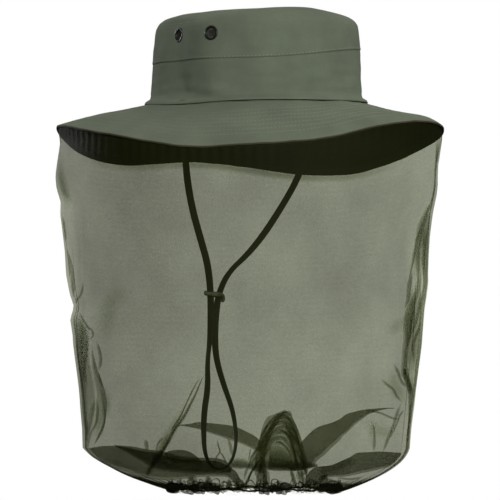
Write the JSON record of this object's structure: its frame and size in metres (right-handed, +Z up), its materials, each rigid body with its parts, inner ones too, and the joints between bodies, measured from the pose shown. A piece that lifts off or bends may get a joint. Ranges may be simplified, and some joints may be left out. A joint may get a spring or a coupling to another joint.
{
  "type": "brimmed hat with mosquito and bee veil",
  "caption": "Soft wide-brimmed cloth hat with a fine net veil hung from the brim edge to an elastic gathered hem, side vent eyelets and a chin strap with a keeper.",
  "frame": {"origin": "middle of the head opening, on the seam where the crown meets the brim", "axes": "+Z up through the crown, -Y to the front of the hat, +X to the right as seen from the front"},
  "size_m": [0.3256, 0.3698, 0.4465],
  "materials": {
    "hat_cloth": "matt woven cotton, olive drab",
    "brim_lining": "matt dark olive cotton",
    "sweatband_tape": "matt herringbone tape",
    "interlining": "stiff matt canvas",
    "binding_tape": "matt tape",
    "net": "fine see-through knitted net",
    "strap_braid": "flat braid",
    "keeper_leather": "satin",
    "hem_net": "doubled net",
    "elastic": "ribbed elastic",
    "eyelet_metal": "black enamel, glossy",
    "vent_screen": "dark wire mesh"
  },
  "bodies": {
    "hat": {"crown_tip": "hat_cloth", "crown_upper_band": "hat_cloth", "crown_lower_band": "hat_cloth", "sweatband": "sweatband_tape", "brim_top_layer": "hat_cloth", "brim_interlining": "interlining", "brim_under_layer": "brim_lining", "net_heading_tape": "binding_tape", "netting": "net", "strap_anchor_left": "strap_braid", "strap_anchor_right": "strap_braid", "eyelet_left_front": "eyelet_metal", "eyelet_left_rear": "eyelet_metal", "eyelet_right_front": "eyelet_metal", "eyelet_right_rear": "eyelet_metal", "eyelet_washer_left_front": "eyelet_metal", "eyelet_washer_left_rear": "eyelet_metal", "eyelet_washer_right_front": "eyelet_metal", "eyelet_washer_right_rear": "eyelet_metal", "eyelet_screen_left_front": "vent_screen", "eyelet_screen_left_rear": "vent_screen", "eyelet_screen_right_front": "vent_screen", "eyelet_screen_right_rear": "vent_screen"},
    "strap": {"chin_strap": "strap_braid"},
    "keeper": {"strap_keeper": "keeper_leather"},
    "hem": {"hem_casing": "hem_net", "hem_elastic": "elastic"}
  },
  "joints": [
    {"name": "strap_swing", "type": "hinge", "parent": "hat", "child": "strap", "pos_m": [0, 0.008, -0.01], "axis": [1, 0, 0], "range_deg": [-10, 10]},
    {"name": "keeper_slide", "type": "slide", "parent": "strap", "child": "keeper", "axis": [0, 0, 1], "range_m": [-0.042, 0]},
    {"name": "hem_lift", "type": "slide", "parent": "hat", "child": "hem", "axis": [0, 0, 1], "range_m": [0, 0.17], "deforming": ["netting"]}
  ]
}
